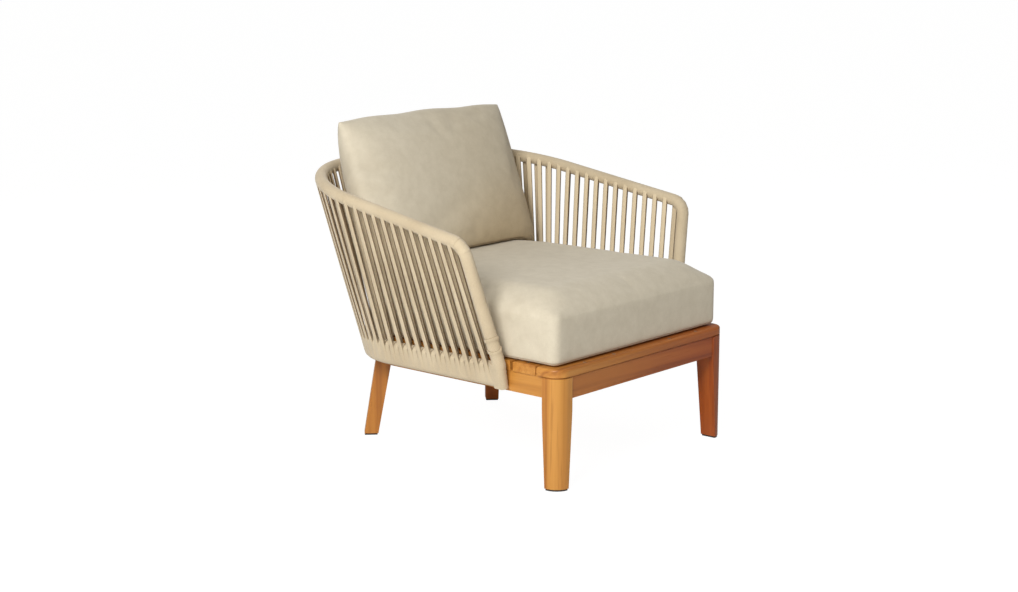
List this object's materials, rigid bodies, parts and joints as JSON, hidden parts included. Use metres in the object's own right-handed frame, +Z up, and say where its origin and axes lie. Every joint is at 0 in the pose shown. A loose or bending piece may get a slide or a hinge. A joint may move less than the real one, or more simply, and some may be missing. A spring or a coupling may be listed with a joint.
{
  "type": "rope-back lounge armchair",
  "caption": "Low wooden lounge armchair with a slatted seat, a flared rope-wound back and arm shell on a bent metal frame, and loose seat and back cushions",
  "frame": {"origin": "on the floor, under the middle of the chair's overall box", "axes": "+X to the right as seen from the front, -Y out of the front of the chair, +Z up"},
  "size_m": [0.8946, 0.8635, 0.8104],
  "materials": {
    "teak": "satin oiled",
    "hidden_wood": "unfinished",
    "glide": "matte",
    "steel": "brushed",
    "frame_metal": "powder coated",
    "rope": "woven",
    "cushion_fabric": "woven, matte",
    "foam": "foam"
  },
  "bodies": {
    "frame": {"front_leg_left": "teak", "front_leg_right": "teak", "rear_leg_left": "teak", "rear_leg_right": "teak", "front_glides": "glide", "rear_glides": "glide", "front_rail": "teak", "side_rail_left": "teak", "side_rail_right": "teak", "rear_rail": "teak", "rear_corner_left": "teak", "rear_corner_right": "teak", "centre_bearer": "hidden_wood", "rail_dowels": "hidden_wood", "rear_leg_bolts": "steel", "front_board": "teak", "slat_1": "teak", "slat_2": "teak", "slat_3": "teak", "slat_4": "teak", "slat_5": "teak", "slat_6": "teak", "slat_7": "teak", "slat_8": "teak", "slat_screws": "steel", "hoop_tube": "frame_metal", "band_bar": "frame_metal", "back_stay_left": "frame_metal", "back_stay_right": "frame_metal", "shell_bolts": "steel", "shell_sleeves": "glide", "rail_wrap": "rope", "post_wrap_left": "rope", "post_wrap_right": "rope", "band_wrap": "rope", "strands_left": "rope", "strands_right": "rope", "strands_corner_left": "rope", "strands_corner_right": "rope", "strands_back": "rope"},
    "seat_cushion": {"seat_cushion_cover": "cushion_fabric", "seat_cushion_foam": "foam"},
    "back_cushion": {"back_cushion_cover": "cushion_fabric", "back_cushion_fill": "foam"}
  },
  "joints": [
    {"name": "seat_cushion_lift", "type": "slide", "parent": "frame", "child": "seat_cushion", "axis": [0, 0, 1], "range_m": [0, 0.45]},
    {"name": "back_cushion_lift", "type": "slide", "parent": "seat_cushion", "child": "back_cushion", "axis": [0, 0, 1], "range_m": [0, 0.35]}
  ]
}
